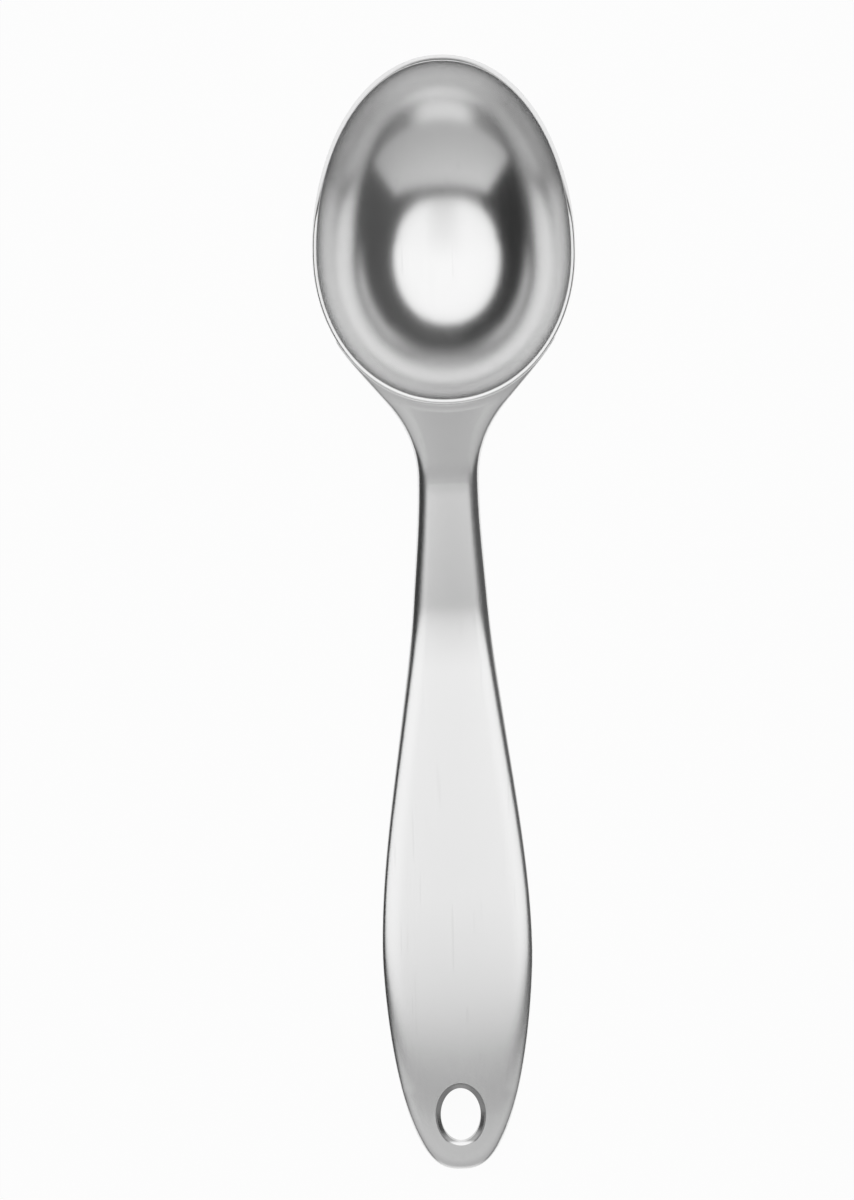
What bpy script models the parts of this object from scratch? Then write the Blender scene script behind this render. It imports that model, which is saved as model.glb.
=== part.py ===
"""Ice cream scoop of brushed stainless steel, lying on its back as it rests on a table.

The bowl opens upward (+Z) and its tip points to +Y. The hollow handle runs back to -Y and ends in an oval hanging
eye. The origin is at the middle of the scoop's length and width, on the table.
"""

import math

import bmesh
import bpy
from mathutils import Matrix, Vector

# Overall
LENGTH = 0.210
JOINT_GAP = 0.0003  # clearance between two pieces that meet

# Bowl, measured in the plane of its rim
BOWL_WIDTH = 0.0493
BOWL_FRONT = 0.0370  # from the widest place to the tip
BOWL_REAR = 0.0284  # from the widest place to the rear of the rim
BOWL_DEPTH = 0.0200
BOTTOM_FORWARD = 0.0030  # the deepest place lies this far in front of the widest one
BOWL_WALL = 0.0015
RIM_WALL = 0.0008
RIM_EDGE = 0.0004  # chamfer on the outside of the rim
RIM_INNER_EDGE = 0.0001
RIM_BEVEL = 0.0014  # at the tip, the outside of the rim is ground down by this much
BEVEL_DIP = 0.45  # the straight share of the bevel, the rest of it is round
BEVEL_FADE = 0.0040  # the bevel runs out this far under the rim
BEVEL_START = 0.05  # the bevel begins at this share of the way from the widest place to the tip
BEVEL_FULL = 0.5
RIM_RISE = 0.0020  # how far tip and rear stand above the middle of the sides
RIM_SQUARENESS = 2.06  # 2 is an ellipse
BOWL_TILT = math.radians(5)  # the rim rises towards the tip when the scoop lies on its back
FOOT_FLAT = 0.00025  # ground off where the bowl stands

# Neck, and the flare that hugs the bowl
NECK_BEHIND_RIM = 0.0138
NECK_WIDTH = 0.0116
NECK_THICKNESS = 0.0087
NECK_UNDER_SLOPE = math.radians(11)
RIM_STEP = 0.0008  # the flare's top lies this far under the rim
FLARE_WIDTH = 0.4422 * BOWL_WIDTH  # where the rear of the rim is
FLARE_SLOPE = 0.82
FLARE_HUG = 0.0118  # how far forward the flare's outline meets the rim's
FLARE_PROUD = 0.0002  # the flare stands this far out of the rim's outline there
FLARE_REACH = 0.0145  # how far the flare runs forward beside the bowl
FLARE_INSET = 0.0008  # the flare ends this far inside the rim's outline
FLARE_SHOULDER = 0.0031  # from the flare's top down to its widest line
FLARE_UNDER_DIP = math.radians(37)  # how far down the bowl's back the flare reaches
FLARE_END_DEPTH = 0.0130  # under the rim, hidden inside the bowl's outline

# Handle
SHANK_BEHIND_NECK = 0.0232
SHANK_WIDTH = 0.0142
SHANK_TAPER = 0.07
FLARE_TOP_SLOPE = math.radians(13.6)  # slopes of the upper face, falling towards the tail
SHANK_TOP_SLOPE = math.radians(9.4)
PALM_TOP_SLOPE = math.radians(0.6)
EYE_TOP_SLOPE = math.radians(7)
TAIL_TOP_SLOPE = math.radians(10)
NECK_BEND_LENGTH = 0.0060
SHANK_LENGTH = 0.0240
SHANK_BEND_LENGTH = 0.0120
TAIL_BEND_TO_TAIL = 0.0520
EYE_BEND_TO_TAIL = 0.0170
GRIP_BEHIND_NECK = 0.0453
GRIP_WIDTH = 0.0194
GRIP_TAPER = 0.134
PALM_WIDTH = 0.0284
PALM_TO_TAIL = 0.0416
TAIL_FULLNESS = 1.6
TAIL_BLUNTNESS = 0.38
TAIL_LIFT = 0.0005
REST_TO_TAIL = 0.0270
REST_LENGTH = 0.0220
REST_FLAT = 0.00015  # ground off where the handle stands
EDGE_ACROSS = 0.0024  # size of the rounded upper corner at the neck
EDGE_DROP = 0.0012
EDGE_FLATTENING = 0.6  # how fast the corner gets broader and flatter where the handle is wider
EDGE_SHARE = 0.6  # part of the skin between the eye and the edge that the corner takes at most
TOP_CROWN = 0.0004
UNDER_SQUARENESS = 2.2
SHELL_WALL = 0.0010

# Welds
SEAM_WELD_HEIGHT = 0.0010
NECK_WELD_WIDTH = 0.0014
BOWL_WELD_THICKNESS = 0.0010
EYE_WELD_WIDTH = 0.0009

# Hanging eye
EYE_TO_TAIL = 0.0104
EYE_WIDTH = 0.0076
EYE_LENGTH = 0.0103
EYE_WALL = 0.0010
EYE_MOUTH_ACROSS = 0.0007
EYE_MOUTH_DROP = 0.0003
EYE_HOLE_GROW = EYE_WALL + EYE_WELD_WIDTH + 2 * JOINT_GAP  # from the clear opening to the hole in the shells

# Inside the handle
SPIGOT_LENGTH = 0.0110
SPIGOT_WALL = 0.00075  # between the shells' inside and the bar, where the neck is thinnest
TANG_DIAMETER = NECK_THICKNESS - 2 * (SHELL_WALL + SPIGOT_WALL + 2 * JOINT_GAP)
TANG_DEPTH = 0.0150  # how deep the bar sits in the neck fitting
ANCHOR_BEHIND_NECK = 0.0330
ANCHOR_LENGTH = 0.0080
TANG_OVERHANG = 0.0020  # the bar stands out of the anchor block by this much

# Limits and facets
LEAST_RADIUS = 0.0002
CUT_OVERSHOOT = 0.006  # a cutter passes what it cuts by this much
BOWL_STEPS = 64
BOWL_RINGS = 12
SEAT_FINENESS = 2  # the seat cut for the bowl has this many times the bowl's facets each way
EDGE_STEPS = 4
TOP_STEPS = 3
UNDER_STEPS = 7
RIB_STEPS = 22
FAN_STEPS = 9
EYE_STEPS = 40
FLARE_STEPS = 20
SPIGOT_STEPS = 3
ANCHOR_STEPS = 2
BAR_STEPS = 20

STEEL = (0.60, 0.60, 0.60, 1.0)
WELD_STEEL = (0.52, 0.52, 0.52, 1.0)
BAR_STEEL = (0.45, 0.45, 0.46, 1.0)

# Places along the scoop
TAIL_Y = -LENGTH / 2
PALM_Y = TAIL_Y + PALM_TO_TAIL
EYE_Y = TAIL_Y + EYE_TO_TAIL
REST_REAR_Y = TAIL_Y + REST_TO_TAIL
REST_FRONT_Y = REST_REAR_Y + REST_LENGTH
SEAM_LAND = SEAM_WELD_HEIGHT / 2 + JOINT_GAP


def skin_from_bowl_centre(length, dip):
    """(y, z) from the bowl's centre to its outer skin, on the spine of the half that is length long."""
    y = length * math.cos(dip) + BOTTOM_FORWARD * math.sin(dip) ** 2
    z = RIM_RISE * math.cos(dip) ** 2 - BOWL_DEPTH * math.sin(dip)
    return y * math.cos(BOWL_TILT) - z * math.sin(BOWL_TILT), y * math.sin(BOWL_TILT) + z * math.cos(BOWL_TILT)


DIPS = [math.pi / 2 * step / 200 for step in range(201)]
BOWL_Y = LENGTH / 2 - max(skin_from_bowl_centre(BOWL_FRONT, dip)[0] for dip in DIPS)
BOWL_Z = -min(skin_from_bowl_centre(-BOWL_REAR, dip)[1] for dip in DIPS) - FOOT_FLAT


def bowl_back(dip):
    """World (y, z) on the spine of the bowl's back, dip radians below the rim."""
    y, z = skin_from_bowl_centre(-BOWL_REAR, dip)
    return BOWL_Y + y, BOWL_Z + z


def bowl_back_slope(dip, step=0.01):
    """Slope of the bowl's back there."""
    (y0, z0), (y1, z1) = bowl_back(dip - step), bowl_back(dip + step)
    return (z1 - z0) / (y1 - y0)


def rim_share(y):
    """How far world y lies from the bowl's widest place, as a share of the way to the rim's end."""
    along = (y - BOWL_Y) / math.cos(BOWL_TILT)
    return min(1, abs(along) / (BOWL_FRONT if along > 0 else BOWL_REAR))


def rim_half_width(y):
    """Half the rim's width at world y."""
    return BOWL_WIDTH / 2 * (1 - rim_share(y) ** RIM_SQUARENESS) ** (1 / RIM_SQUARENESS)


def rim_height(y):
    """Height of the rim at world y."""
    rise = RIM_RISE * rim_share(y) ** 2 * math.cos(BOWL_TILT)
    return BOWL_Z + (y - BOWL_Y) * math.tan(BOWL_TILT) + rise


def slope_of(line, y, step=0.0002):
    """Slope of a line at y."""
    return (line(y + step) - line(y - step)) / (2 * step)


def smooth_line(knots, y):
    """Value at y of the smooth line through knots of (y, value, slope), listed from +Y to -Y."""
    spans = list(zip(knots, knots[1:]))
    (y0, value0, slope0), (y1, value1, slope1) = next((pair for pair in spans if y >= pair[1][0]), spans[-1])
    span = y1 - y0
    t = (y - y0) / span
    ease = t * t * (3 - 2 * t)
    pull = t * (1 - t) ** 2 * slope0 + t * t * (t - 1) * slope1
    return value0 + (value1 - value0) * ease + span * pull


ROOT_Y = bowl_back(0)[0]
NECK_Y = ROOT_Y - NECK_BEHIND_RIM
FLARE_Y = ROOT_Y + FLARE_REACH
HUG_Y = ROOT_Y + FLARE_HUG
SHANK_Y = NECK_Y - SHANK_BEHIND_NECK
GRIP_Y = NECK_Y - GRIP_BEHIND_NECK
ANCHOR_Y = NECK_Y - ANCHOR_BEHIND_NECK
SHOULDER_Y = NECK_Y + NECK_WELD_WIDTH / 2 + JOINT_GAP
SHELL_FRONT_Y = NECK_Y - NECK_WELD_WIDTH / 2 - JOINT_GAP
SPIGOT_END_Y = NECK_Y - SPIGOT_LENGTH

HALF_WIDTHS = (
    (FLARE_Y, rim_half_width(FLARE_Y) - FLARE_INSET, slope_of(rim_half_width, FLARE_Y)),
    (HUG_Y, rim_half_width(HUG_Y) + FLARE_PROUD, slope_of(rim_half_width, HUG_Y)),
    (ROOT_Y, FLARE_WIDTH / 2, FLARE_SLOPE),
    (NECK_Y, NECK_WIDTH / 2, 0),
    (SHANK_Y, SHANK_WIDTH / 2, -SHANK_TAPER),
    (GRIP_Y, GRIP_WIDTH / 2, -GRIP_TAPER),
    (PALM_Y, PALM_WIDTH / 2, 0),
)
TOP_BENDS = (
    (ROOT_Y, FLARE_TOP_SLOPE),
    (NECK_Y + NECK_BEND_LENGTH / 2, FLARE_TOP_SLOPE),
    (NECK_Y - NECK_BEND_LENGTH / 2, SHANK_TOP_SLOPE),
    (NECK_Y - SHANK_LENGTH, SHANK_TOP_SLOPE),
    (NECK_Y - SHANK_LENGTH - SHANK_BEND_LENGTH, PALM_TOP_SLOPE),
    (TAIL_Y + TAIL_BEND_TO_TAIL, PALM_TOP_SLOPE),
    (TAIL_Y + EYE_BEND_TO_TAIL, EYE_TOP_SLOPE),
    (TAIL_Y, TAIL_TOP_SLOPE),
)


def line_through_bends(knots, bends):
    """Adds knots that follow the slopes at the bends, in order from +Y to -Y."""
    knots = list(knots)
    for (y0, slope0), (y1, slope1) in zip(bends, bends[1:]):
        fall = (y0 - y1) * (math.tan(slope0) + math.tan(slope1)) / 2
        knots.append((y1, knots[-1][1] - fall, math.tan(slope1)))
    return knots


TOP_HEIGHTS = line_through_bends(
    (
        (FLARE_Y, rim_height(FLARE_Y) - RIM_STEP, slope_of(rim_height, FLARE_Y)),
        (ROOT_Y, rim_height(ROOT_Y) - RIM_STEP, math.tan(FLARE_TOP_SLOPE)),
    ),
    TOP_BENDS,
)
UNDER_HEIGHTS = (
    (FLARE_Y, rim_height(FLARE_Y) - FLARE_END_DEPTH, 0),
    (*bowl_back(FLARE_UNDER_DIP), bowl_back_slope(FLARE_UNDER_DIP)),
    (NECK_Y, smooth_line(TOP_HEIGHTS, NECK_Y) - NECK_THICKNESS, math.tan(NECK_UNDER_SLOPE)),
    (REST_FRONT_Y, -REST_FLAT, 0),
    (REST_REAR_Y, -REST_FLAT, 0),
    (TAIL_Y, TAIL_LIFT, 0),
)


def half_width(y):
    """Half the width of the neck and handle at y."""
    if y >= PALM_Y:
        return smooth_line(HALF_WIDTHS, y)
    share = min(1, (PALM_Y - y) / PALM_TO_TAIL)
    return PALM_WIDTH / 2 * (1 - share**TAIL_FULLNESS) ** TAIL_BLUNTNESS


def top_height(y):
    """Height of the upper skin on the spine."""
    return smooth_line(TOP_HEIGHTS, y)


def under_height(y):
    """Height of the lower skin on the spine."""
    return smooth_line(UNDER_HEIGHTS, y)


def flare_share(y):
    """0 at the neck and behind it, 1 from the rear of the rim forward."""
    share = min(1, max(0, (y - NECK_Y) / NECK_BEHIND_RIM))
    return share * share * (3 - 2 * share)


def middle_height(y):
    """Height of the widest line: halfway up the handle, and close under the top of the flare."""
    middle = (top_height(y) + under_height(y)) / 2
    return middle + (top_height(y) - FLARE_SHOULDER - middle) * flare_share(y)


def tail_reach(angle):
    """Distance from the eye's centre to the outline, in the direction angle radians from +X towards -Y."""
    near, far = 0, PALM_WIDTH
    for _ in range(40):
        reach = (near + far) / 2
        y = EYE_Y - reach * math.sin(angle)
        inside = y > TAIL_Y and reach * math.cos(angle) < half_width(y)
        near, far = (reach, far) if inside else (near, reach)
    return near


class Rib:
    """A line in plan from the spine to the outline. Ribs cross the handle squarely, then fan round the eye."""

    def __init__(self, y, angle=0.0):
        self.y = y
        self.across = math.cos(angle)
        self.back = math.sin(angle)
        self.reach = tail_reach(angle) if angle else half_width(y)
        self.edge_y = y - self.reach * self.back
        self.upper = top_height(self.edge_y) - middle_height(self.edge_y)
        self.lower = middle_height(self.edge_y) - under_height(self.edge_y)
        self.start = self.hole_edge(angle)

    def hole_edge(self, angle):
        """Distance along the rib at which it leaves the eye's hole in the shells."""
        across, along = EYE_WIDTH / 2 + EYE_HOLE_GROW, EYE_LENGTH / 2 + EYE_HOLE_GROW
        if angle:
            return 1 / math.hypot(self.across / across, self.back / along)
        share = (self.y - EYE_Y) / along
        return across * math.sqrt(max(0, 1 - share**2)) if share >= 0 else 0

    def point(self, distance, height):
        """World point on this rib, height above or below the middle line as it would be at the rib's edge."""
        y = self.y - distance * self.back
        if height > 0:
            scale = (top_height(y) - middle_height(y)) / self.upper
        else:
            scale = (middle_height(y) - under_height(y)) / self.lower
        return Vector((distance * self.across, y, middle_height(y) + height * scale))

    def top_side(self, inset=0.0):
        """Points from the edge over the rounded corner to the spine, on the upper side."""
        reach = self.reach - inset
        height = self.upper - inset
        wider = (2 * self.reach / NECK_WIDTH) ** EDGE_FLATTENING
        across = min(EDGE_ACROSS * wider, EDGE_SHARE * (self.reach - self.start)) - inset
        drop = max(min(EDGE_DROP / wider, self.upper - SEAM_LAND - 2 * TOP_CROWN) - inset, LEAST_RADIUS)
        shape = [(reach, SEAM_LAND)]
        for step in range(EDGE_STEPS + 1):
            turn = math.pi / 2 * step / EDGE_STEPS
            shape.append((reach - across * (1 - math.cos(turn)), height - drop * (1 - math.sin(turn))))
        shape += [((reach - across) * (1 - step / TOP_STEPS), height) for step in range(1, TOP_STEPS + 1)]
        crowned = [(x, z if z == SEAM_LAND else z - TOP_CROWN * (x / reach) ** 2) for x, z in shape]
        return [self.point(x, z) for x, z in crowned]

    def under_side(self, inset=0.0):
        """Points from the edge round the belly to the spine, on the lower side."""
        reach = self.reach - inset
        depth = self.lower - inset - SEAM_LAND
        shape = []
        for step in range(UNDER_STEPS + 1):
            turn = math.pi / 2 * step / UNDER_STEPS
            x = reach * math.cos(turn) ** (2 / UNDER_SQUARENESS)
            shape.append((x, -SEAM_LAND - depth * math.sin(turn) ** (2 / UNDER_SQUARENESS)))
        return [self.point(x, z) for x, z in shape]


def handle_ribs(from_y):
    """Ribs of the right half, from the neck to the tail."""
    across = [Rib(from_y + (EYE_Y - from_y) * step / RIB_STEPS) for step in range(RIB_STEPS + 1)]
    fan = [Rib(EYE_Y, math.pi / 2 * step / FAN_STEPS) for step in range(1, FAN_STEPS + 1)]
    return across + fan


def section(y, inset=0.0):
    """Closed outline of the neck or handle at y, starting at the right edge and going over the top."""
    rib = Rib(y)
    right = [*reversed(rib.under_side(inset)), *rib.top_side(inset)]
    left = [Vector((-point.x, point.y, point.z)) for point in reversed(right[1:-1])]
    return right + left


def skin_point(x, y, upper=True, inset=0.0):
    """World point of the handle's skin above or below (x, y), near the eye."""
    if y >= EYE_Y:
        rib, distance = Rib(y), abs(x)
    else:
        angle = math.atan2(EYE_Y - y, abs(x))
        rib, distance = Rib(EYE_Y, angle), math.hypot(x, y - EYE_Y)
    share = distance / rib.reach
    if upper:
        height = rib.upper - TOP_CROWN * share**2
    else:
        belly = (1 - share**UNDER_SQUARENESS) ** (1 / UNDER_SQUARENESS)
        height = -SEAM_LAND - (rib.lower - SEAM_LAND) * belly
    z = rib.point(distance, height).z
    return Vector((x, y, z - inset if upper else z + inset))


def extrude_to(bm, chain, points, closed):
    """Extrudes a chain of vertices and sets the new ones on points."""
    pairs = list(zip(chain, chain[1:])) + ([(chain[-1], chain[0])] if closed else [])
    made = bmesh.ops.extrude_edge_only(bm, edges=[bm.edges.get(pair) for pair in pairs])["geom"]
    fresh = {item for item in made if isinstance(item, bmesh.types.BMVert)}
    moved = []
    for old, point in zip(chain, points):
        new = next(edge.other_vert(old) for edge in old.link_edges if edge.other_vert(old) in fresh)
        new.co = point
        moved.append(new)
    return moved


def swept(stations, closed=True):
    """A skin extruded from station to station. Returns the mesh and its first and last chains."""
    bm = bmesh.new()
    first = [bm.verts.new(point) for point in stations[0]]
    for pair in zip(first, first[1:]):
        bm.edges.new(pair)
    if closed:
        bm.edges.new((first[-1], first[0]))
    last = first
    for points in stations[1:]:
        last = extrude_to(bm, last, points, closed)
    return bm, first, last


def capped(stations):
    """A closed solid through the stations, with flat ends."""
    bm, first, last = swept(stations)
    bm.faces.new(first)
    bm.faces.new(last)
    return bm


def ring(stations):
    """A closed ring whose last station meets its first."""
    bm, _, _ = swept([*stations, stations[0]])
    bmesh.ops.remove_doubles(bm, verts=bm.verts, dist=1e-7)
    return bm


def mirrored(bm):
    """Adds the left half of a mesh whose right half ends on the plane x = 0."""
    bmesh.ops.mirror(bm, geom=[*bm.verts, *bm.edges, *bm.faces], axis="X", merge_dist=1e-6)
    return bm


def material(name, colour, roughness):
    made = bpy.data.materials.new(name)
    made.use_nodes = True
    shader = made.node_tree.nodes["Principled BSDF"]
    shader.inputs["Base Color"].default_value = colour
    shader.inputs["Metallic"].default_value = 1.0
    shader.inputs["Roughness"].default_value = roughness
    return made


def add_piece(name, bm, finish, origin=(0, 0, 0)):
    """Makes an object of a mesh in world coordinates, with its origin at a place of its own."""
    bmesh.ops.remove_doubles(bm, verts=bm.verts, dist=1e-7)
    bmesh.ops.dissolve_degenerate(bm, edges=bm.edges, dist=1e-7)
    bmesh.ops.recalc_face_normals(bm, faces=bm.faces)
    bmesh.ops.translate(bm, verts=bm.verts, vec=-Vector(origin))
    mesh = bpy.data.meshes.new(name)
    bm.to_mesh(mesh)
    bm.free()
    mesh.shade_smooth()
    mesh.set_sharp_from_angle(angle=math.radians(40))
    piece = bpy.data.objects.new(name, mesh)
    piece.location = origin
    bpy.context.collection.objects.link(piece)
    if finish:
        mesh.materials.append(finish)
    return piece


def add_cutter(name, bm, origin=(0, 0, 0)):
    """A guide solid that only cuts others."""
    cutter = add_piece(name, bm, None, origin)
    cutter.hide_render = True
    cutter.display_type = "WIRE"
    return cutter


def boolean(piece, cutter, operation="DIFFERENCE"):
    modifier = piece.modifiers.new(cutter.name, "BOOLEAN")
    modifier.operation = operation
    modifier.object = cutter
    modifier.solver = "EXACT"


def bevelled(radius, height, forward):
    """Lowers a point on the outside of the rim, the more the nearer it is to the tip. It stays on the outer skin."""
    out = max(0, (radius - BOWL_WIDTH / 2) / RIM_WALL + 1)
    front = min(1, max(0, (forward - BEVEL_START) / (BEVEL_FULL - BEVEL_START)))
    share = front * front * (3 - 2 * front) * max(0, 1 + height / BEVEL_FADE)
    low = height - RIM_BEVEL * share * (BEVEL_DIP * out + (1 - BEVEL_DIP) * out * out)
    shrink = (1 - (low / BOWL_DEPTH) ** 2) / (1 - (height / BOWL_DEPTH) ** 2) if low < height else 1
    return radius * math.sqrt(shrink), low


def bowl_shape(profile, fineness=1, bevel=False):
    """Spins a profile of (radius, height) round the bowl's axis and stretches it to the egg-shaped outline.

    The radius is given as on the bowl's side, where the outline is BOWL_WIDTH wide.
    """
    bm = bmesh.new()
    chain = [bm.verts.new((radius, 0, height)) for radius, height in profile]
    edges = [bm.edges.new(pair) for pair in zip(chain, chain[1:])]
    bmesh.ops.spin(
        bm,
        geom=[*chain, *edges],
        axis=(0, 0, 1),
        cent=(0, 0, 0),
        steps=BOWL_STEPS * fineness,
        angle=2 * math.pi,
        use_merge=True,
    )
    bmesh.ops.remove_doubles(bm, verts=bm.verts, dist=1e-7)
    side = BOWL_WIDTH / 2
    for vert in bm.verts:
        radius = math.hypot(vert.co.x, vert.co.y)
        c, s = (vert.co.x / radius, vert.co.y / radius) if radius > 1e-9 else (1, 0)
        if bevel:
            radius, vert.co.z = bevelled(radius, vert.co.z, s)
        out = radius / (abs(c) ** RIM_SQUARENESS + abs(s) ** RIM_SQUARENESS) ** (1 / RIM_SQUARENESS)
        stretch = (BOWL_FRONT if s > 0 else BOWL_REAR) / side
        forward = BOTTOM_FORWARD * (min(0, vert.co.z) / BOWL_DEPTH) ** 2
        vert.co = (out * c, out * s * stretch + forward, vert.co.z + RIM_RISE * (s * radius / side) ** 2)
    return bm


def bowl_arc(inset_at_rim, inset_at_bottom, top=0.0, fineness=1):
    """Profile of one skin of the bowl, from the bottom up to the rim, inset from the outer skin."""
    points = []
    rings = BOWL_RINGS * fineness
    for step in range(rings + 1):
        dip = math.pi / 2 * (1 - step / rings)
        inset = inset_at_rim + (inset_at_bottom - inset_at_rim) * math.sin(dip)
        points.append(((BOWL_WIDTH / 2 - inset) * math.cos(dip), (inset - BOWL_DEPTH) * math.sin(dip)))
    points[0] = (0, points[0][1])
    points[-1] = (points[-1][0], top)
    return points


def place_in_bowl(bm):
    """Turns and moves a mesh from the bowl's own frame to the world."""
    bmesh.ops.rotate(bm, verts=bm.verts, cent=(0, 0, 0), matrix=Matrix.Rotation(BOWL_TILT, 3, "X"))
    bmesh.ops.translate(bm, verts=bm.verts, vec=(0, BOWL_Y, BOWL_Z))
    return bm


def ground_flat(bm):
    """Grinds off what lies under the table's plane and leaves a flat there."""
    geom = [*bm.verts, *bm.edges, *bm.faces]
    cut = bmesh.ops.bisect_plane(bm, geom=geom, plane_co=(0, 0, 0), plane_no=(0, 0, -1), clear_outer=True)
    rim = [item for item in cut["geom_cut"] if isinstance(item, bmesh.types.BMEdge)]
    bmesh.ops.contextual_create(bm, geom=rim)
    return bm


def bowl_filled(grow):
    """The bowl's outline as a solid without its hollow, grown all round and raised over the rim."""
    arc = bowl_arc(-grow, -grow, fineness=SEAT_FINENESS)
    profile = [*arc, (arc[-1][0], CUT_OVERSHOOT), (0, CUT_OVERSHOOT)]
    return place_in_bowl(bowl_shape(profile, SEAT_FINENESS))


def make_bowl(steel):
    outer = bowl_arc(0, 0, -RIM_EDGE)
    inner = bowl_arc(RIM_WALL, BOWL_WALL, -RIM_INNER_EDGE)
    land = [(outer[-1][0] - RIM_EDGE, 0), (inner[-1][0] + RIM_INNER_EDGE, 0)]
    bm = ground_flat(place_in_bowl(bowl_shape([*outer, *land, *reversed(inner)], bevel=True)))
    return add_piece("bowl", bm, steel, (0, BOWL_Y, BOWL_Z))


def sections_between(front_y, rear_y, steps, inset=0.0):
    """Evenly spaced outlines of the neck or handle between two places."""
    return [section(front_y + (rear_y - front_y) * step / steps, inset) for step in range(steps + 1)]


def tang_line():
    """Axis of the bar: a point in the middle of the neck, and the direction from the anchor block to it."""
    near = Vector((0, NECK_Y, middle_height(NECK_Y)))
    far = Vector((0, ANCHOR_Y, middle_height(ANCHOR_Y)))
    return near, (near - far).normalized()


def bar(radius, front_y, rear_y):
    """A round bar on the tang's axis between two places."""
    near, direction = tang_line()
    front = near + direction * ((front_y - near.y) / direction.y)
    rear = near + direction * ((rear_y - near.y) / direction.y)
    turn = Vector((0, 0, 1)).rotation_difference(direction).to_matrix().to_4x4()
    bm = bmesh.new()
    bmesh.ops.create_cone(
        bm,
        cap_ends=True,
        segments=BAR_STEPS,
        radius1=radius,
        radius2=radius,
        depth=(front - rear).length,
        matrix=Matrix.Translation((front + rear) / 2) @ turn,
    )
    return bm


def make_neck(steel, weld):
    """The neck fitting with its spigot, and the layer of weld metal on the bowl's back."""
    flare = sections_between(FLARE_Y, SHOULDER_Y, FLARE_STEPS)
    spigot = sections_between(SHOULDER_Y, SPIGOT_END_Y, SPIGOT_STEPS, SHELL_WALL + JOINT_GAP)
    origin = (0, NECK_Y, middle_height(NECK_Y))
    fitting = add_piece("neck_fitting", capped([*flare, *spigot]), steel, origin)
    layer = add_piece("bowl_weld", capped(flare), weld, origin)
    weld_back = JOINT_GAP + BOWL_WELD_THICKNESS
    boolean(fitting, add_cutter("bowl_seat_of_neck", bowl_filled(weld_back + JOINT_GAP)))
    bore = bar(TANG_DIAMETER / 2 + JOINT_GAP, SPIGOT_END_Y + TANG_DEPTH + JOINT_GAP, SPIGOT_END_Y - JOINT_GAP)
    boolean(fitting, add_cutter("tang_bore", bore))
    boolean(layer, add_cutter("bowl_seat_of_weld", bowl_filled(JOINT_GAP)))
    boolean(layer, add_cutter("weld_back", bowl_filled(weld_back)), "INTERSECT")
    return fitting, layer


def make_neck_weld(weld):
    """The ring of weld metal between the neck fitting and the shells, round the spigot."""
    front, rear = NECK_Y + NECK_WELD_WIDTH / 2, NECK_Y - NECK_WELD_WIDTH / 2
    stations = [section(front), section(rear), section(rear, SHELL_WALL), section(front, SHELL_WALL)]
    return add_piece("neck_weld", ring(stations), weld, (0, NECK_Y, middle_height(NECK_Y)))


def make_shells(steel):
    """The two pressed halves of the handle."""
    shells = []
    for name, side in (("handle_front_shell", Rib.top_side), ("handle_back_shell", Rib.under_side)):
        stations = [[*reversed(side(rib)), *side(rib, SHELL_WALL)] for rib in handle_ribs(SHELL_FRONT_Y)]
        bm, first, _ = swept(stations, closed=False)
        bm.faces.new(first)
        mirrored(bm)
        if side is Rib.under_side:
            bmesh.ops.remove_doubles(bm, verts=bm.verts, dist=1e-7)
            ground_flat(bm)
        shell = add_piece(name, bm, steel, (0, EYE_Y, 0))
        shells.append(shell)
    return shells


def make_seam_weld(weld):
    """The strip of weld metal between the two shells, round the whole edge."""
    stations = []
    for rib in handle_ribs(SHELL_FRONT_Y):
        half = SEAM_WELD_HEIGHT / 2
        outer, inner = rib.reach, rib.reach - SHELL_WALL
        stations.append([rib.point(*at) for at in ((outer, half), (outer, -half), (inner, -half), (inner, half))])
    left = [[Vector((-point.x, point.y, point.z)) for point in station] for station in reversed(stations[:-1])]
    return add_piece("handle_seam_weld", capped([*stations, *left]), weld, (0, EYE_Y, 0))


def eye_oval(grow):
    """Plan points of the eye's clear opening, grown all round."""
    turns = [2 * math.pi * step / EYE_STEPS for step in range(EYE_STEPS)]
    across, along = EYE_WIDTH / 2 + grow, EYE_LENGTH / 2 + grow
    return [(across * math.cos(turn), EYE_Y + along * math.sin(turn)) for turn in turns]


def make_eye(steel, weld):
    """The oval sleeve through the tail, and the weld rings that hold it in the shells."""
    ends = []
    for upper in (True, False):
        mouth = [skin_point(x, y, upper, EYE_MOUTH_DROP) for x, y in eye_oval(0)]
        lip = [skin_point(x, y, upper) for x, y in eye_oval(EYE_MOUTH_ACROSS)]
        shoulder = [skin_point(x, y, upper) for x, y in eye_oval(EYE_WALL)]
        ends.append([mouth, lip, shoulder])
    origin = (0, EYE_Y, middle_height(EYE_Y))
    add_piece("hanging_eye_sleeve", ring([*ends[0], *reversed(ends[1])]), steel, origin)
    inside = EYE_WALL + JOINT_GAP
    outside = inside + EYE_WELD_WIDTH
    for name, upper in (("eye_weld_front", True), ("eye_weld_back", False)):
        corners = ((inside, 0), (outside, 0), (outside, SHELL_WALL), (inside, SHELL_WALL))
        stations = [[skin_point(x, y, upper, deep) for x, y in eye_oval(out)] for out, deep in corners]
        add_piece(name, ring(stations), weld, origin)
    hole = eye_oval(EYE_HOLE_GROW)
    heights = (-CUT_OVERSHOOT, top_height(EYE_Y) + CUT_OVERSHOOT)
    return add_cutter("eye_hole", capped([[Vector((x, y, z)) for x, y in hole] for z in heights]), origin)


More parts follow.
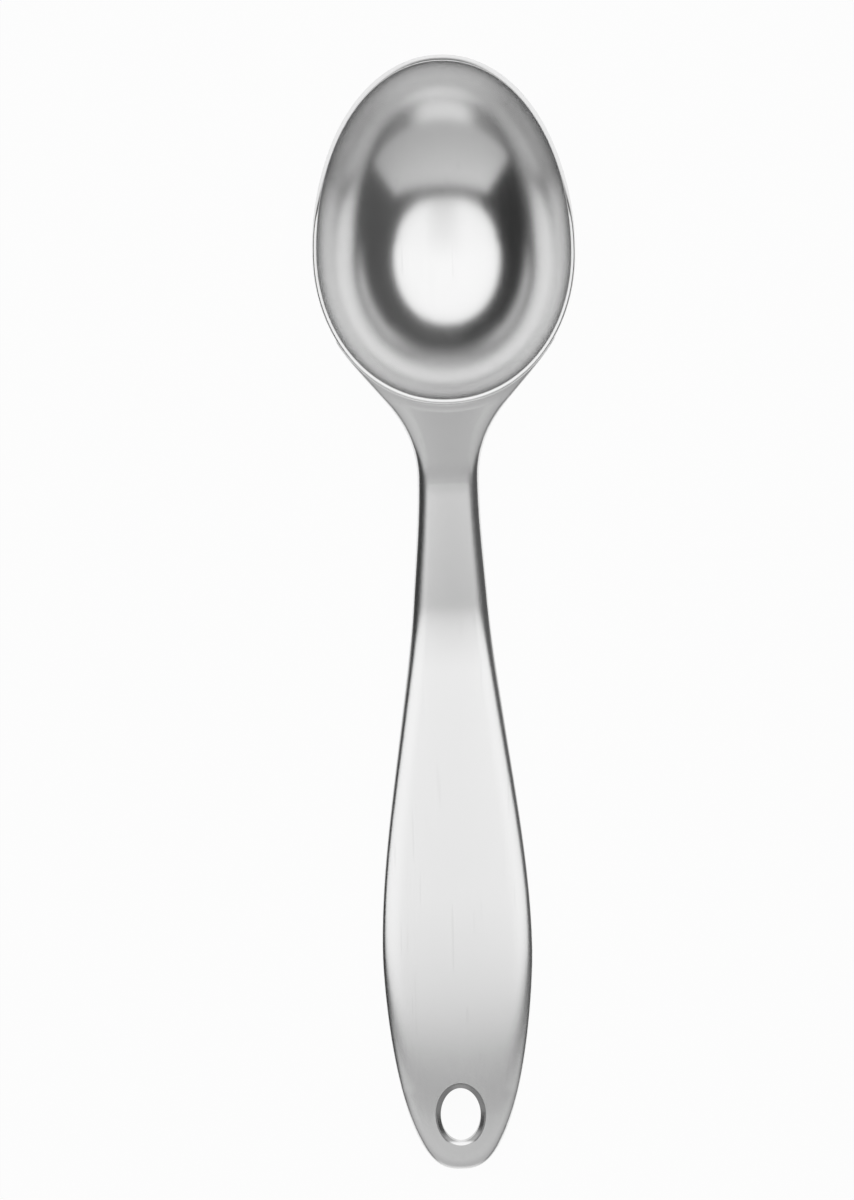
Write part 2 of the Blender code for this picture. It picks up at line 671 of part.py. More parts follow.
def make_tang(bar_steel, steel):
    """The bar in the neck fitting, and the block that centres its end in the handle."""
    front_y = SPIGOT_END_Y + TANG_DEPTH
    rear_y = ANCHOR_Y - ANCHOR_LENGTH / 2 - TANG_OVERHANG
    near, _ = tang_line()
    add_piece("tang_bar", bar(TANG_DIAMETER / 2, front_y, rear_y), bar_steel, near)
    block_front, block_rear = ANCHOR_Y + ANCHOR_LENGTH / 2, ANCHOR_Y - ANCHOR_LENGTH / 2
    stations = sections_between(block_front, block_rear, ANCHOR_STEPS, SHELL_WALL + JOINT_GAP)
    block = add_piece("tang_anchor_block", capped(stations), steel, (0, ANCHOR_Y, middle_height(ANCHOR_Y)))
    bore = bar(TANG_DIAMETER / 2 + JOINT_GAP, block_front + JOINT_GAP, block_rear - JOINT_GAP)
    boolean(block, add_cutter("anchor_bore", bore))


def main():
    for old in list(bpy.data.objects):
        bpy.data.objects.remove(old)
    brushed = material("brushed_steel", STEEL, 0.32)
    polished = material("satin_bowl_steel", STEEL, 0.24)
    weld = material("ground_weld", WELD_STEEL, 0.34)
    bar_steel = material("bar_steel", BAR_STEEL, 0.45)
    make_bowl(polished)
    make_neck(brushed, weld)
    make_neck_weld(weld)
    shells = make_shells(brushed)
    make_seam_weld(weld)
    hole = make_eye(brushed, weld)
    for shell in shells:
        boolean(shell, hole)
    make_tang(bar_steel, brushed)
    scoop = bpy.data.objects.new("scoop", None)
    bpy.context.collection.objects.link(scoop)
    for piece in list(bpy.context.collection.objects):
        if piece is not scoop:
            piece.parent = scoop


main()
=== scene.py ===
import math

import bpy
from mathutils import Matrix, Vector


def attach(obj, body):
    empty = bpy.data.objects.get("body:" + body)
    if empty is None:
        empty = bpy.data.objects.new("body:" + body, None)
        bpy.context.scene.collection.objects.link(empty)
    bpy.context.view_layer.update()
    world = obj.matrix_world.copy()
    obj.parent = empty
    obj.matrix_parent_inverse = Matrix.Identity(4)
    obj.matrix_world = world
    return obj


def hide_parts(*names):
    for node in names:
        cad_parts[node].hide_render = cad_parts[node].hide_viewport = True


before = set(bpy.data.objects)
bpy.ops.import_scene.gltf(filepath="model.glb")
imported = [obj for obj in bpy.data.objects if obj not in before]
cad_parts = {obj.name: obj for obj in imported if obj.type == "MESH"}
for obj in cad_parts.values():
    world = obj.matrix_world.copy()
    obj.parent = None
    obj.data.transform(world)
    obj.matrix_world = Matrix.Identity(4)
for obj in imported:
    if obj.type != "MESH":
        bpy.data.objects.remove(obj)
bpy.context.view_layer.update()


# The camera, straight above the table as in the photograph

CAMERA_HEIGHT = 1.2
METRES_PER_PIXEL = 0.19055e-3  # on the table
FRAME_HEIGHT = 1200
CAMERA_AIM = Vector((-0.00445, 0.00316, 0))
CAMERA_TURN = math.radians(-1.15)

camera_data = bpy.data.cameras.new("camera")
camera_data.sensor_fit = "VERTICAL"
camera_data.lens = camera_data.sensor_height * CAMERA_HEIGHT / (FRAME_HEIGHT * METRES_PER_PIXEL)
camera_data.clip_end = 20
camera = bpy.data.objects.new("camera", camera_data)
camera.location = CAMERA_AIM + Vector((0, 0, CAMERA_HEIGHT))
camera.rotation_euler = (0, 0, CAMERA_TURN)
bpy.context.scene.collection.objects.link(camera)
bpy.context.scene.camera = camera


# The scoop's measurements, in metres

LENGTH = 0.210
JOINT_GAP = 0.0003  # the welds fill the clearance that the pieces have

BOWL_WIDTH = 0.0493
BOWL_FRONT = 0.0370
BOWL_REAR = 0.0284
BOWL_DEPTH = 0.0200
BOTTOM_FORWARD = 0.0030
BOWL_WALL = 0.0015
RIM_WALL = 0.0008
RIM_ROUND = 0.00042
RIM_INNER_ROUND = 0.0001
RIM_BEVEL = 0.0014
BEVEL_DIP = 0.45  # share of the bevel that is straight
BEVEL_FADE = 0.0040  # it runs out this far below the rim
BEVEL_START = 0.05  # it grows between these two, where 0 is the rim's side and 1 its tip
BEVEL_FULL = 0.5
RIM_RISE = 0.0020
RIM_SQUARENESS = 2.06  # power of the rim's outline: 2 is an ellipse
BOWL_TILT = math.radians(5)
FOOT_FLAT = 0.00025

NECK_BEHIND_RIM = 0.0138
NECK_WIDTH = 0.0116
NECK_THICKNESS = 0.0087
NECK_UNDER_SLOPE = math.radians(11)
RIM_STEP = 0.0008
FLARE_WIDTH = 0.4422 * BOWL_WIDTH
FLARE_SLOPE = 0.82
FLARE_HUG = 0.0118
FLARE_PROUD = 0.0002
FLARE_REACH = 0.0145
FLARE_INSET = 0.0008
FLARE_SHOULDER = 0.0031
FLARE_UNDER_DIP = math.radians(37)
FLARE_END_DEPTH = 0.0130

SHANK_BEHIND_NECK = 0.0232
SHANK_WIDTH = 0.0142
SHANK_TAPER = 0.07
FLARE_TOP_SLOPE = math.radians(13.6)
SHANK_TOP_SLOPE = math.radians(9.4)
PALM_TOP_SLOPE = math.radians(0.6)
EYE_TOP_SLOPE = math.radians(7)
TAIL_TOP_SLOPE = math.radians(10)
NECK_BEND_LENGTH = 0.0060
SHANK_LENGTH = 0.0240
SHANK_BEND_LENGTH = 0.0120
TAIL_BEND_TO_TAIL = 0.0520
EYE_BEND_TO_TAIL = 0.0170
GRIP_BEHIND_NECK = 0.0453
GRIP_WIDTH = 0.0194
GRIP_TAPER = 0.134
PALM_WIDTH = 0.0284
PALM_TO_TAIL = 0.0416
TAIL_FULLNESS = 1.6  # powers of the tail's outline
TAIL_BLUNTNESS = 0.38
TAIL_LIFT = 0.0005
REST_TO_TAIL = 0.0270
REST_LENGTH = 0.0220
REST_FLAT = 0.00015
EDGE_ACROSS = 0.0024
EDGE_DROP = 0.0012
EDGE_FLATTENING = 0.6  # power by which the edge gets wider and lower where the handle is wider
EDGE_SHARE = 0.6  # the edge takes no more than this of a rib
LEAST_RADIUS = 0.0002
TOP_CROWN = 0.0004
UNDER_SQUARENESS = 2.2  # power of the belly's section: 2 is an ellipse
SHELL_WALL = 0.0010

SEAM_WELD_HEIGHT = 0.0010
NECK_WELD_WIDTH = 0.0014
BOWL_WELD_THICKNESS = 0.0010
EYE_WELD_WIDTH = 0.0009

EYE_TO_TAIL = 0.0104
EYE_WIDTH = 0.0076
EYE_LENGTH = 0.0103
EYE_WALL = 0.0010
EYE_MOUTH_ACROSS = 0.0007
EYE_MOUTH_DROP = 0.0003

SPIGOT_LENGTH = 0.0110
SPIGOT_WALL = 0.00075
TANG_DIAMETER = NECK_THICKNESS - 2 * (SHELL_WALL + SPIGOT_WALL + 2 * JOINT_GAP)
TANG_DEPTH = 0.0150
ANCHOR_BEHIND_NECK = 0.0330

FILLET_WIDTH = 0.0017  # of the weld's hollow between the flare's top and the rim's outside
FILLET_HEIGHT = 0.0004
WELD_BITE = 0.0001  # the weld reaches this far into the bowl's wall

GUIDE_TOP = 0.0060  # guides that fill the bowl end this far above its middle
MERGE_DISTANCE = 1e-6

# Facets, and the distance between stations along the scoop

BOWL_STEPS = 384
BOWL_RINGS = 90
GUIDE_STEPS = 192
BORE_STEPS = 48
CORNER_STEPS = 5
RIM_STEPS = 6
EDGE_STEPS = 12
TOP_STEPS = 34
UNDER_STEPS = 24
EYE_STEPS = 24  # round a quarter of the eye
FLARE_STATION = 0.00022
NECK_STATION = 0.0005
HANDLE_STATION = 0.0010

SHARP_ANGLE = 35  # degrees between faces from which an edge stays sharp
BOWL_SHARP_ANGLE = 50
EYE_SHARP_ANGLE = 15
NORMAL_WEIGHT = 60

DIP_STEPS = 200  # in the search for the bowl's tip and bottom
HALVINGS = 40  # in the search for the tail's outline

TAIL_Y = -LENGTH / 2
PALM_Y = TAIL_Y + PALM_TO_TAIL
EYE_Y = TAIL_Y + EYE_TO_TAIL
REST_REAR_Y = TAIL_Y + REST_TO_TAIL
REST_FRONT_Y = REST_REAR_Y + REST_LENGTH
SEAM_LAND = SEAM_WELD_HEIGHT / 2 + JOINT_GAP
EYE_HOLE_GROW = EYE_WALL + EYE_WELD_WIDTH + 2 * JOINT_GAP


def skin_from_bowl_centre(length, dip):
    """(y, z) from the bowl's centre to its outer skin, on the spine of the half this long."""
    y = length * math.cos(dip) + BOTTOM_FORWARD * math.sin(dip) ** 2
    z = RIM_RISE * math.cos(dip) ** 2 - BOWL_DEPTH * math.sin(dip)
    cos, sin = math.cos(BOWL_TILT), math.sin(BOWL_TILT)
    return y * cos - z * sin, y * sin + z * cos


DIPS = [math.pi / 2 * step / DIP_STEPS for step in range(DIP_STEPS + 1)]
BOWL_Y = LENGTH / 2 - max(skin_from_bowl_centre(BOWL_FRONT, dip)[0] for dip in DIPS)
BOWL_Z = -min(skin_from_bowl_centre(-BOWL_REAR, dip)[1] for dip in DIPS) - FOOT_FLAT


def bowl_back(dip):
    """World (y, z) on the spine of the bowl's back, dip radians below the rim."""
    y, z = skin_from_bowl_centre(-BOWL_REAR, dip)
    return BOWL_Y + y, BOWL_Z + z


def bowl_back_slope(dip, step=0.01):
    """Slope of the bowl's back on the spine, dip radians below the rim."""
    (y0, z0), (y1, z1) = bowl_back(dip - step), bowl_back(dip + step)
    return (z1 - z0) / (y1 - y0)


def rim_share(y):
    """0 at the rim's widest line, 1 at its tip and at its rear."""
    along = (y - BOWL_Y) / math.cos(BOWL_TILT)
    return min(1, abs(along) / (BOWL_FRONT if along > 0 else BOWL_REAR))


def rim_half_width(y):
    """Half the width of the bowl's outside at y."""
    return BOWL_WIDTH / 2 * (1 - rim_share(y) ** RIM_SQUARENESS) ** (1 / RIM_SQUARENESS)


def rim_height(y):
    """Height of the rim at y, on its way round the bowl."""
    rise = RIM_RISE * rim_share(y) ** 2 * math.cos(BOWL_TILT)
    return BOWL_Z + (y - BOWL_Y) * math.tan(BOWL_TILT) + rise


def slope_of(line, y, step=0.0002):
    return (line(y + step) - line(y - step)) / (2 * step)


def smooth_line(knots, y):
    """Value at y of the smooth line through knots of (y, value, slope), listed from +Y to -Y."""
    spans = list(zip(knots, knots[1:]))
    ahead, behind = next((pair for pair in spans if y >= pair[1][0]), spans[-1])
    (y0, value0, slope0), (y1, value1, slope1) = ahead, behind
    span = y1 - y0
    t = (y - y0) / span
    ease = t * t * (3 - 2 * t)
    pull = t * (1 - t) ** 2 * slope0 + t * t * (t - 1) * slope1
    return value0 + (value1 - value0) * ease + span * pull


ROOT_Y = bowl_back(0)[0]
NECK_Y = ROOT_Y - NECK_BEHIND_RIM
FLARE_Y = ROOT_Y + FLARE_REACH
HUG_Y = ROOT_Y + FLARE_HUG
SHANK_Y = NECK_Y - SHANK_BEHIND_NECK
GRIP_Y = NECK_Y - GRIP_BEHIND_NECK
ANCHOR_Y = NECK_Y - ANCHOR_BEHIND_NECK
SHOULDER_Y = NECK_Y + NECK_WELD_WIDTH / 2 + JOINT_GAP
SHELL_FRONT_Y = NECK_Y - NECK_WELD_WIDTH / 2 - JOINT_GAP
SPIGOT_END_Y = NECK_Y - SPIGOT_LENGTH

HALF_WIDTHS = (
    (FLARE_Y, rim_half_width(FLARE_Y) - FLARE_INSET, slope_of(rim_half_width, FLARE_Y)),
    (HUG_Y, rim_half_width(HUG_Y) + FLARE_PROUD, slope_of(rim_half_width, HUG_Y)),
    (ROOT_Y, FLARE_WIDTH / 2, FLARE_SLOPE),
    (NECK_Y, NECK_WIDTH / 2, 0),
    (SHANK_Y, SHANK_WIDTH / 2, -SHANK_TAPER),
    (GRIP_Y, GRIP_WIDTH / 2, -GRIP_TAPER),
    (PALM_Y, PALM_WIDTH / 2, 0),
)
TOP_BENDS = (
    (ROOT_Y, FLARE_TOP_SLOPE),
    (NECK_Y + NECK_BEND_LENGTH / 2, FLARE_TOP_SLOPE),
    (NECK_Y - NECK_BEND_LENGTH / 2, SHANK_TOP_SLOPE),
    (NECK_Y - SHANK_LENGTH, SHANK_TOP_SLOPE),
    (NECK_Y - SHANK_LENGTH - SHANK_BEND_LENGTH, PALM_TOP_SLOPE),
    (TAIL_Y + TAIL_BEND_TO_TAIL, PALM_TOP_SLOPE),
    (TAIL_Y + EYE_BEND_TO_TAIL, EYE_TOP_SLOPE),
    (TAIL_Y, TAIL_TOP_SLOPE),
)


def line_through_bends(knots, bends):
    """Adds knots that follow the slopes at the bends, in order from +Y to -Y."""
    knots = list(knots)
    for (y0, slope0), (y1, slope1) in zip(bends, bends[1:]):
        fall = (y0 - y1) * (math.tan(slope0) + math.tan(slope1)) / 2
        knots.append((y1, knots[-1][1] - fall, math.tan(slope1)))
    return knots


TOP_HEIGHTS = line_through_bends(
    (
        (FLARE_Y, rim_height(FLARE_Y) - RIM_STEP, slope_of(rim_height, FLARE_Y)),
        (ROOT_Y, rim_height(ROOT_Y) - RIM_STEP, math.tan(FLARE_TOP_SLOPE)),
    ),
    TOP_BENDS,
)
UNDER_HEIGHTS = (
    (FLARE_Y, rim_height(FLARE_Y) - FLARE_END_DEPTH, 0),
    (*bowl_back(FLARE_UNDER_DIP), bowl_back_slope(FLARE_UNDER_DIP)),
    (NECK_Y, smooth_line(TOP_HEIGHTS, NECK_Y) - NECK_THICKNESS, math.tan(NECK_UNDER_SLOPE)),
    (REST_FRONT_Y, -REST_FLAT, 0),
    (REST_REAR_Y, -REST_FLAT, 0),
    (TAIL_Y, TAIL_LIFT, 0),
)


def half_width(y):
    """Half the width of the neck and handle at y."""
    if y >= PALM_Y:
        return smooth_line(HALF_WIDTHS, y)
    share = min(1, (PALM_Y - y) / PALM_TO_TAIL)
    return PALM_WIDTH / 2 * (1 - share**TAIL_FULLNESS) ** TAIL_BLUNTNESS


def top_height(y):
    return smooth_line(TOP_HEIGHTS, y)


def under_height(y):
    return smooth_line(UNDER_HEIGHTS, y)


def flare_share(y):
    """0 at the neck and behind it, 1 from the rear of the rim forward."""
    share = min(1, max(0, (y - NECK_Y) / NECK_BEHIND_RIM))
    return share * share * (3 - 2 * share)


def middle_height(y):
    """Height of the widest line: halfway up the handle, and close under the top of the flare."""
    middle = (top_height(y) + under_height(y)) / 2
    return middle + (top_height(y) - FLARE_SHOULDER - middle) * flare_share(y)


def tail_reach(angle):
    """Distance from the eye's centre to the outline, angle radians from +X towards -Y."""
    near, far = 0, PALM_WIDTH
    for _ in range(HALVINGS):
        reach = (near + far) / 2
        y = EYE_Y - reach * math.sin(angle)
        inside = y > TAIL_Y and reach * math.cos(angle) < half_width(y)
        near, far = (reach, far) if inside else (near, reach)
    return near


class Rib:
    """A line in plan from the spine, or from the eye's hole, to the outline.

    Ribs fan round the eye at the tail.
    """

    def __init__(self, y, angle=0.0):
        self.y = y
        self.across = math.cos(angle)
        self.back = math.sin(angle)
        self.reach = tail_reach(angle) if angle else half_width(y)
        self.edge_y = y - self.reach * self.back
        self.upper = top_height(self.edge_y) - middle_height(self.edge_y)
        self.lower = middle_height(self.edge_y) - under_height(self.edge_y)
        self.start = self.hole_edge(angle)

    def hole_edge(self, angle):
        """Distance along the rib at which it leaves the eye's hole."""
        across, along = EYE_WIDTH / 2 + EYE_HOLE_GROW, EYE_LENGTH / 2 + EYE_HOLE_GROW
        if angle:
            return 1 / math.hypot(self.across / across, self.back / along)
        share = (self.y - EYE_Y) / along
        return across * math.sqrt(max(0, 1 - share**2)) if share >= 0 else 0

    def point(self, distance, height):
        """World point on this rib. Its height above the middle line is as at the rib's edge."""
        y = self.y - distance * self.back
        if height > 0:
            scale = (top_height(y) - middle_height(y)) / self.upper
        else:
            scale = (middle_height(y) - under_height(y)) / self.lower
        return Vector((distance * self.across, y, middle_height(y) + height * scale))

    def top_side(self, inset=0.0, start=0.0):
        """Points from the edge over the rounded corner to the spine, on the upper side."""
        reach = self.reach - inset
        height = self.upper - inset
        wider = (2 * self.reach / NECK_WIDTH) ** EDGE_FLATTENING
        across = min(EDGE_ACROSS * wider, EDGE_SHARE * (self.reach - self.start)) - inset
        room = self.upper - SEAM_LAND - 2 * TOP_CROWN
        drop = max(min(EDGE_DROP / wider, room) - inset, LEAST_RADIUS)
        shape = [(reach, SEAM_LAND)]
        for step in range(EDGE_STEPS + 1):
            turn = math.pi / 2 * step / EDGE_STEPS
            x = reach - across * (1 - math.cos(turn))
            shape.append((x, height - drop * (1 - math.sin(turn))))
        flat = reach - across - start
        for step in range(1, TOP_STEPS + 1):
            shape.append((start + flat * (1 - step / TOP_STEPS), height))
        crowned = [(x, z if z == SEAM_LAND else z - TOP_CROWN * (x / reach) ** 2) for x, z in shape]
        return [self.point(x, z) for x, z in crowned]

    def under_side(self, inset=0.0, start=0.0):
        """Points from the edge round the belly to the spine, on the lower side."""
        reach = self.reach - inset
        depth = self.lower - inset - SEAM_LAND
        last = math.acos(min(1, (start / reach) ** (UNDER_SQUARENESS / 2)))
        shape = []
        for step in range(UNDER_STEPS + 1):
            turn = last * step / UNDER_STEPS
            x = reach * math.cos(turn) ** (2 / UNDER_SQUARENESS)
            shape.append((x, -SEAM_LAND - depth * math.sin(turn) ** (2 / UNDER_SQUARENESS)))
        return [self.point(x, z) for x, z in shape]


def evenly(first, last, spacing):
    """Numbers from first to last, about spacing apart."""
    steps = max(1, round(abs(last - first) / spacing))
    return [first + (last - first) * step / steps for step in range(steps + 1)]


def handle_ribs():
    """Ribs of the right half, from the neck to the tail."""
    hole_top = EYE_Y + EYE_LENGTH / 2 + EYE_HOLE_GROW
    across = evenly(SHELL_FRONT_Y, hole_top, HANDLE_STATION)
    turns = [math.pi / 2 * step / EYE_STEPS for step in range(1, EYE_STEPS + 1)]
    beside = [EYE_Y + (hole_top - EYE_Y) * math.cos(turn) for turn in turns]
    straight = [Rib(y) for y in (*across, *beside[:-1], EYE_Y)]
    return straight + [Rib(EYE_Y, turn) for turn in turns]


def section(y, inset=0.0):
    """Closed outline of the neck or handle at y, up from the spine's underside on the right."""
    rib = Rib(y)
    right = [*reversed(rib.under_side(inset)), *rib.top_side(inset)]
    left = [Vector((-point.x, point.y, point.z)) for point in reversed(right[1:-1])]
    return [*right, *left, right[0]]


def skin_point(x, y, upper=True, inset=0.0):
    """World point of the handle's skin above or below (x, y), near the eye."""
    if y >= EYE_Y:
        rib, distance = Rib(y), abs(x)
    else:
        angle = math.atan2(EYE_Y - y, abs(x))
        rib, distance = Rib(EYE_Y, angle), math.hypot(x, y - EYE_Y)
    share = distance / rib.reach
    if upper:
        height = rib.upper - TOP_CROWN * share**2
    else:
        belly = (1 - share**UNDER_SQUARENESS) ** (1 / UNDER_SQUARENESS)
        height = -SEAM_LAND - (rib.lower - SEAM_LAND) * belly
    z = rib.point(distance, height).z
    return Vector((x, y, z - inset if upper else z + inset))


def bevelled(radius, height, forward):
    """Lowers a point on the outside of the rim, most at the tip. It stays on the outer skin."""
    out = max(0, (radius - BOWL_WIDTH / 2) / RIM_WALL + 1)
    front = min(1, max(0, (forward - BEVEL_START) / (BEVEL_FULL - BEVEL_START)))
    share = front * front * (3 - 2 * front) * max(0, 1 + height / BEVEL_FADE)
    low = height - RIM_BEVEL * share * (BEVEL_DIP * out + (1 - BEVEL_DIP) * out * out)
    shrink = (1 - (low / BOWL_DEPTH) ** 2) / (1 - (height / BOWL_DEPTH) ** 2) if low < height else 1
    return radius * math.sqrt(shrink), low


def bowl_point(x, y, z, bevel):
    """World place of a point that is given on a round bowl of the bowl's width."""
    radius = math.hypot(x, y)
    side = BOWL_WIDTH / 2
    c, s = (x / radius, y / radius) if radius > 1e-9 else (1, 0)
    if bevel:
        radius, z = bevelled(radius, z, s)
    out = radius / (abs(c) ** RIM_SQUARENESS + abs(s) ** RIM_SQUARENESS) ** (1 / RIM_SQUARENESS)
    stretch = (BOWL_FRONT if s > 0 else BOWL_REAR) / side
    forward = BOTTOM_FORWARD * (min(0, z) / BOWL_DEPTH) ** 2
    own = Vector((out * c, out * s * stretch + forward, z + RIM_RISE * (s * radius / side) ** 2))
    return Matrix.Rotation(BOWL_TILT, 3, "X") @ own + Vector((0, BOWL_Y, BOWL_Z))


def bowl_arc(inset_at_rim, inset_at_bottom, top=0.0):
    """Profile of one skin of the bowl, from the bottom up to the rim, inset from the outer skin."""
    points = []
    for step in range(BOWL_RINGS + 1):
        dip = math.pi / 2 * (1 - step / BOWL_RINGS)
        inset = inset_at_rim + (inset_at_bottom - inset_at_rim) * math.sin(dip)
        radius = (BOWL_WIDTH / 2 - inset) * math.cos(dip)
        points.append((radius, (inset - BOWL_DEPTH) * math.sin(dip)))
    points[0] = (0, points[0][1])
    points[-1] = (points[-1][0], top)
    return points


# Modelling

def finish_edit(piece, fill=False):
    """Merges doubles, closes holes if asked to and turns all faces outwards."""
    bpy.context.view_layer.objects.active = piece
    bpy.ops.object.mode_set(mode="EDIT")
    bpy.ops.mesh.select_all(action="SELECT")
    bpy.ops.mesh.remove_doubles(threshold=MERGE_DISTANCE)
    if fill:
        bpy.ops.mesh.fill_holes(sides=0)
        bpy.ops.mesh.select_all(action="SELECT")
    bpy.ops.mesh.normals_make_consistent(inside=False)
    bpy.ops.object.mode_set(mode="OBJECT")


def sheet(name, rows):
    """A grid with a row of vertices for each row of points, moved there."""
    bpy.ops.object.select_all(action="DESELECT")
    across, along = len(rows[0]) - 1, len(rows) - 1
    bpy.ops.mesh.primitive_grid_add(x_subdivisions=across, y_subdivisions=along, size=2)
    piece = bpy.context.active_object
    piece.name = piece.data.name = name
    for vert in piece.data.vertices:
        row = rows[round((vert.co.y + 1) / 2 * along)]
        vert.co = row[round((vert.co.x + 1) / 2 * across)]
    return piece


def draw_line(name, points):
    """A chain of vertices, drawn point by point."""
    bpy.ops.object.select_all(action="DESELECT")
    bpy.ops.mesh.primitive_plane_add(size=0.001)
    piece = bpy.context.active_object
    piece.name = piece.data.name = name
    bpy.ops.object.mode_set(mode="EDIT")
    bpy.ops.mesh.merge(type="CENTER")
    bpy.ops.transform.translate(value=points[0])
    for here, there in zip(points, points[1:]):
        step = [b - a for a, b in zip(here, there)]
        bpy.ops.mesh.extrude_vertices_move(TRANSFORM_OT_translate={"value": step})
    bpy.ops.object.mode_set(mode="OBJECT")
    return piece


def spun_bowl(name, profile, steps=BOWL_STEPS, bevel=False):
    """Spins a profile of (radius, height) and stretches it to the bowl's egg shape."""
    piece = draw_line(name, [(radius, 0, height) for radius, height in profile])
    bpy.ops.object.mode_set(mode="EDIT")
    bpy.ops.mesh.select_all(action="SELECT")
    bpy.ops.mesh.spin(steps=steps, angle=2 * math.pi, center=(0, 0, 0), axis=(0, 0, 1))
    bpy.ops.object.mode_set(mode="OBJECT")
    for vert in piece.data.vertices:
        vert.co = bowl_point(*vert.co, bevel)
        vert.co.z = max(0, vert.co.z)
    finish_edit(piece)
    return piece


def apply_modifier(piece, kind, **settings):
    modifier = piece.modifiers.new(kind.lower(), kind)
    for name, value in settings.items():
        setattr(modifier, name, value)
    bpy.ops.object.select_all(action="DESELECT")
    bpy.context.view_layer.objects.active = piece
    piece.select_set(True)
    bpy.ops.object.modifier_apply(modifier=modifier.name)


def cut(piece, cutter, operation="DIFFERENCE"):
    apply_modifier(piece, "BOOLEAN", object=cutter, operation=operation, solver="EXACT")


def discard(*guides):
    for guide in guides:
        bpy.data.objects.remove(guide)


def face_outwards(piece, direction):
    """Flips an open sheet whose first face looks the wrong way along direction."""
    if piece.data.polygons[0].normal.dot(Vector(direction)) < 0:
        bpy.context.view_layer.objects.active = piece
        bpy.ops.object.mode_set(mode="EDIT")
        bpy.ops.mesh.select_all(action="SELECT")
        bpy.ops.mesh.flip_normals()
        bpy.ops.object.mode_set(mode="OBJECT")


def hand_over(piece, node, finish, sharp=SHARP_ANGLE):
    """Smooths a finished piece and puts it in its CAD node's place."""
    bpy.ops.object.select_all(action="DESELECT")
    bpy.context.view_layer.objects.active = piece
    piece.select_set(True)
    bpy.ops.object.shade_smooth_by_angle(angle=math.radians(sharp))
    apply_modifier(piece, "WEIGHTED_NORMAL", keep_sharp=True, weight=NORMAL_WEIGHT)
    piece.data.materials.clear()
    piece.data.materials.append(finish)
    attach(piece, "root")
    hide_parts(node)


def round_corner(centre, radius, first, last):
    """Profile points on an arc, angles in degrees."""
    points = []
    for step in range(CORNER_STEPS + 1):
        turn = math.radians(first + (last - first) * step / CORNER_STEPS)
        points.append((centre[0] + radius * math.cos(turn), centre[1] + radius * math.sin(turn)))
    return points


def model_bowl(finish):
    """The spun bowl, its wall thinner at the rim, with the rim's rounded edges and its bevel."""
    outer = bowl_arc(0, 0, -RIM_ROUND)
    inner = bowl_arc(RIM_WALL, BOWL_WALL, -RIM_INNER_ROUND)
    outside = round_corner((outer[-1][0] - RIM_ROUND, -RIM_ROUND), RIM_ROUND, 0, 90)
    inside_centre = (inner[-1][0] + RIM_INNER_ROUND, -RIM_INNER_ROUND)
    inside = round_corner(inside_centre, RIM_INNER_ROUND, 90, 180)
    start, across = outside[-1][0], inside[0][0] - outside[-1][0]
    land = [(start + across * step / RIM_STEPS, 0) for step in range(1, RIM_STEPS)]
    profile = [*outer[:-1], *outside, *land, *inside, *reversed(inner[:-1])]
    piece = spun_bowl("bowl_pressing", profile, bevel=True)
    hand_over(piece, "bowl", finish, BOWL_SHARP_ANGLE)


def bowl_solid(name, grow):
    """A guide that fills the bowl's outline, grown all round."""
    arc = bowl_arc(-grow, -grow)
    return spun_bowl(name, [*arc, (arc[-1][0], GUIDE_TOP), (0, GUIDE_TOP)], GUIDE_STEPS)


def bowl_outline_distance(point):
    """Roughly how far a point near the rim lies outside the bowl's outer skin."""
    own = Matrix.Rotation(-BOWL_TILT, 3, "X") @ (point - Vector((0, BOWL_Y, BOWL_Z)))
    length = BOWL_FRONT if own.y > 0 else BOWL_REAR
    shares = abs(own.x / (BOWL_WIDTH / 2)), abs(own.y / length)
    reach = (shares[0] ** RIM_SQUARENESS + shares[1] ** RIM_SQUARENESS) ** (1 / RIM_SQUARENESS)
    level = own.z - RIM_RISE * min(1, reach) ** 2 * (own.y / length) ** 2
    shrink = math.sqrt(max(0, 1 - (min(0, level) / BOWL_DEPTH) ** 2))
    away = math.hypot(own.x, own.y)
    return away * (1 - shrink / max(reach, 1e-6))


def fillet_rise(distance):
    """Height of the weld's hollow at a distance from the bowl."""
    return FILLET_HEIGHT * max(0, 1 - max(0, distance) / FILLET_WIDTH) ** 2


def flare_section(y):
    """Outline of the flare at y, with its top rising to the rim's outside."""
    points = section(y)
    if y < ROOT_Y - FILLET_WIDTH:
        return points
    raised = []
    for point in points:
        share = (point.z - middle_height(y)) / (top_height(y) - middle_height(y))
        rise = fillet_rise(bowl_outline_distance(point)) if share > 0 else 0
        raised.append(point + Vector((0, 0, rise * min(1, max(0, share)) ** 2)))
    return raised


def tang_bore():
    """A guide for the bar's hole in the neck fitting."""
    near = Vector((0, NECK_Y, middle_height(NECK_Y)))
    far = Vector((0, ANCHOR_Y, middle_height(ANCHOR_Y)))
    direction = (near - far).normalized()
    front = near + direction * ((SPIGOT_END_Y + TANG_DEPTH + JOINT_GAP - near.y) / direction.y)
    rear = near + direction * ((SPIGOT_END_Y - JOINT_GAP - near.y) / direction.y)
    bpy.ops.object.select_all(action="DESELECT")
    bpy.ops.mesh.primitive_cylinder_add(
        vertices=BORE_STEPS,
        radius=TANG_DIAMETER / 2 + JOINT_GAP,
        depth=(front - rear).length,
        location=(front + rear) / 2,
        rotation=direction.to_track_quat("Z", "X").to_euler(),
    )
    return bpy.context.active_object


